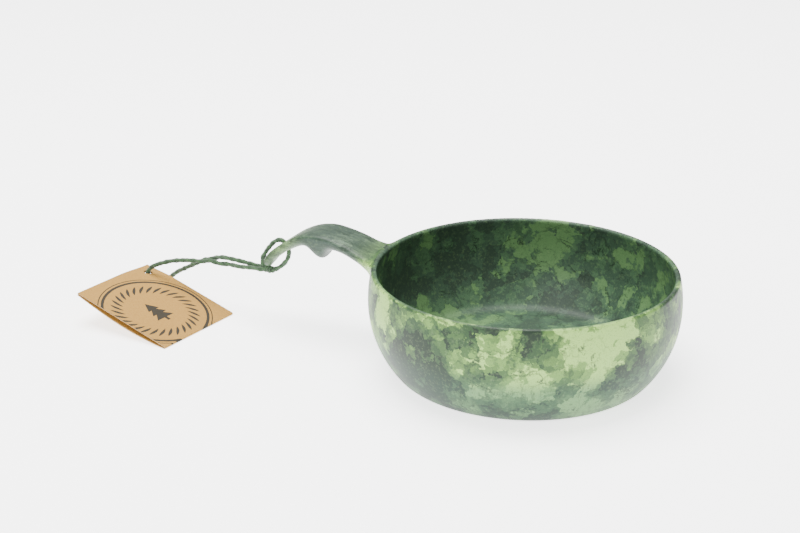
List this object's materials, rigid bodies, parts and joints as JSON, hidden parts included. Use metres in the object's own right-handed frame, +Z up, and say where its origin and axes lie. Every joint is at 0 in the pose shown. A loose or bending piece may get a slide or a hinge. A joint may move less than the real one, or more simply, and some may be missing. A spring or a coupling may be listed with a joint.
{
  "type": "kuksa cup with cord and tag",
  "caption": "Round shallow kuksa cup moulded in marbled green wood-fibre composite, with an arched finger handle and a folded card tag on a soft green cord.",
  "frame": {"origin": "centre of the bowl's flat base, on the surface that the cup stands on", "axes": "+Z up through the bowl; -X from the bowl along the handle; +Y to the right when looking out along the handle"},
  "size_m": [0.291, 0.145, 0.0524],
  "materials": {
    "marbled_composite": "satin, marbled in pale, mid and dark greens with grey-green streaks",
    "green_lace": "soft laid lace, slightly fuzzy",
    "kraft_card": "uncoated kraft card with dark grey print"
  },
  "bodies": {
    "cup": {"cup": "marbled_composite", "cord_hitch": "green_lace", "cord_knot": "green_lace"},
    "lead": {"cord_lead_far": "green_lace", "cord_lead_near": "green_lace"},
    "tag": {"cord_tag_loop": "green_lace", "tag_front_leaf": "kraft_card"},
    "tag_back": {"tag_back_leaf": "kraft_card"}
  },
  "joints": [
    {"name": "cord_swing", "type": "hinge", "parent": "cup", "child": "lead", "pos_m": [-0.13681, 0, 0.02608], "axis": [0, 0, 1], "range_deg": [-75, 75]},
    {"name": "tag_turn", "type": "hinge", "parent": "lead", "child": "tag", "pos_m": [-0.17111, 0, 0.02522], "axis": [-0.9526, -0.0944, -0.2891], "range_deg": [0, 180]},
    {"name": "tag_fold", "type": "hinge", "parent": "tag", "child": "tag_back", "pos_m": [-0.15598, -0.01123, 0.00067], "axis": [-0.1564, -0.9877, 0], "range_deg": [0, 3]}
  ]
}
